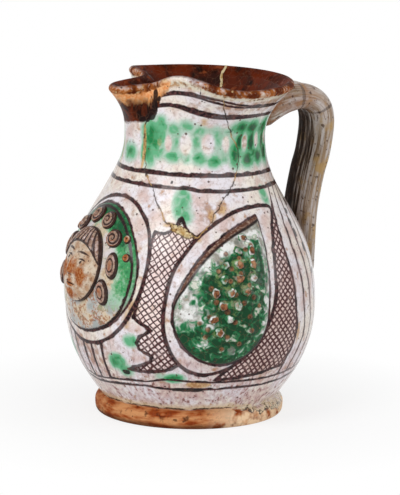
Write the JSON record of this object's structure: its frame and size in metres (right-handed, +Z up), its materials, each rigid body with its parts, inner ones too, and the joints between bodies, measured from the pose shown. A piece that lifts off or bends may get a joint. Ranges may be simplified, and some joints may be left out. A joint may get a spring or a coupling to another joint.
{
  "type": "earthenware jug",
  "caption": "Tin-glazed earthenware pouring jug with a pinched three-lobed lip, a strap handle, a relief head medallion under the spout and a pine-cone relief on each flank.",
  "frame": {"origin": "centre of the flat underside of the foot, where the jug stands", "axes": "+Z up along the thrown axis, the lip pours towards -X, the strap handle is at +X, +Y is the pourer's right-hand side"},
  "size_m": [0.2024, 0.1806, 0.2319],
  "materials": {
    "white_tin_glaze": "glossy, milky white tin glaze with pinholes, over red earthenware",
    "green_glaze": "glossy, copper green bleeding into the white glaze",
    "worn_handle_glaze": "half gloss, thin grey-brown worn glaze",
    "bare_clay": "worn through to matt orange-brown terracotta",
    "plaster_fill": "matt cream to golden plaster"
  },
  "bodies": {
    "root": {"body": "white_tin_glaze", "neck_sherd_left": "white_tin_glaze", "rim_sherd_back": "white_tin_glaze", "rim_crack_fill": "plaster_fill", "shoulder_chip_fill": "plaster_fill", "handle_root": "worn_handle_glaze", "handle_shoulder": "worn_handle_glaze", "handle_strap": "worn_handle_glaze", "medallion_boss": "green_glaze", "head": "white_tin_glaze", "hair_curl_left_top": "white_tin_glaze", "hair_curl_left_side": "white_tin_glaze", "hair_curl_right_top": "white_tin_glaze", "hair_curl_right_side": "white_tin_glaze", "braid_bead_left_upper": "white_tin_glaze", "braid_bead_left_lower": "white_tin_glaze", "braid_bead_right_upper": "white_tin_glaze", "braid_bead_right_lower": "white_tin_glaze", "berry_left_upper": "bare_clay", "berry_left_lower": "bare_clay", "berry_right_upper": "bare_clay", "berry_right_lower": "bare_clay", "left_cone_boss": "green_glaze", "left_cone_scale_01": "bare_clay", "left_cone_scale_02": "bare_clay", "left_cone_scale_03": "bare_clay", "left_cone_scale_04": "bare_clay", "left_cone_scale_05": "bare_clay", "left_cone_scale_06": "bare_clay", "left_cone_scale_07": "bare_clay", "left_cone_scale_08": "bare_clay", "left_cone_scale_09": "bare_clay", "left_cone_scale_10": "bare_clay", "left_cone_scale_11": "bare_clay", "left_cone_scale_12": "bare_clay", "left_cone_scale_13": "bare_clay", "left_cone_scale_14": "bare_clay", "left_cone_scale_15": "bare_clay", "left_cone_scale_16": "bare_clay", "left_cone_scale_17": "bare_clay", "right_cone_boss": "green_glaze", "right_cone_scale_01": "bare_clay", "right_cone_scale_02": "bare_clay", "right_cone_scale_03": "bare_clay", "right_cone_scale_04": "bare_clay", "right_cone_scale_05": "bare_clay", "right_cone_scale_06": "bare_clay", "right_cone_scale_07": "bare_clay", "right_cone_scale_08": "bare_clay", "right_cone_scale_09": "bare_clay", "right_cone_scale_10": "bare_clay", "right_cone_scale_11": "bare_clay", "right_cone_scale_12": "bare_clay", "right_cone_scale_13": "bare_clay", "right_cone_scale_14": "bare_clay", "right_cone_scale_15": "bare_clay", "right_cone_scale_16": "bare_clay", "right_cone_scale_17": "bare_clay"}
  },
  "joints": []
}
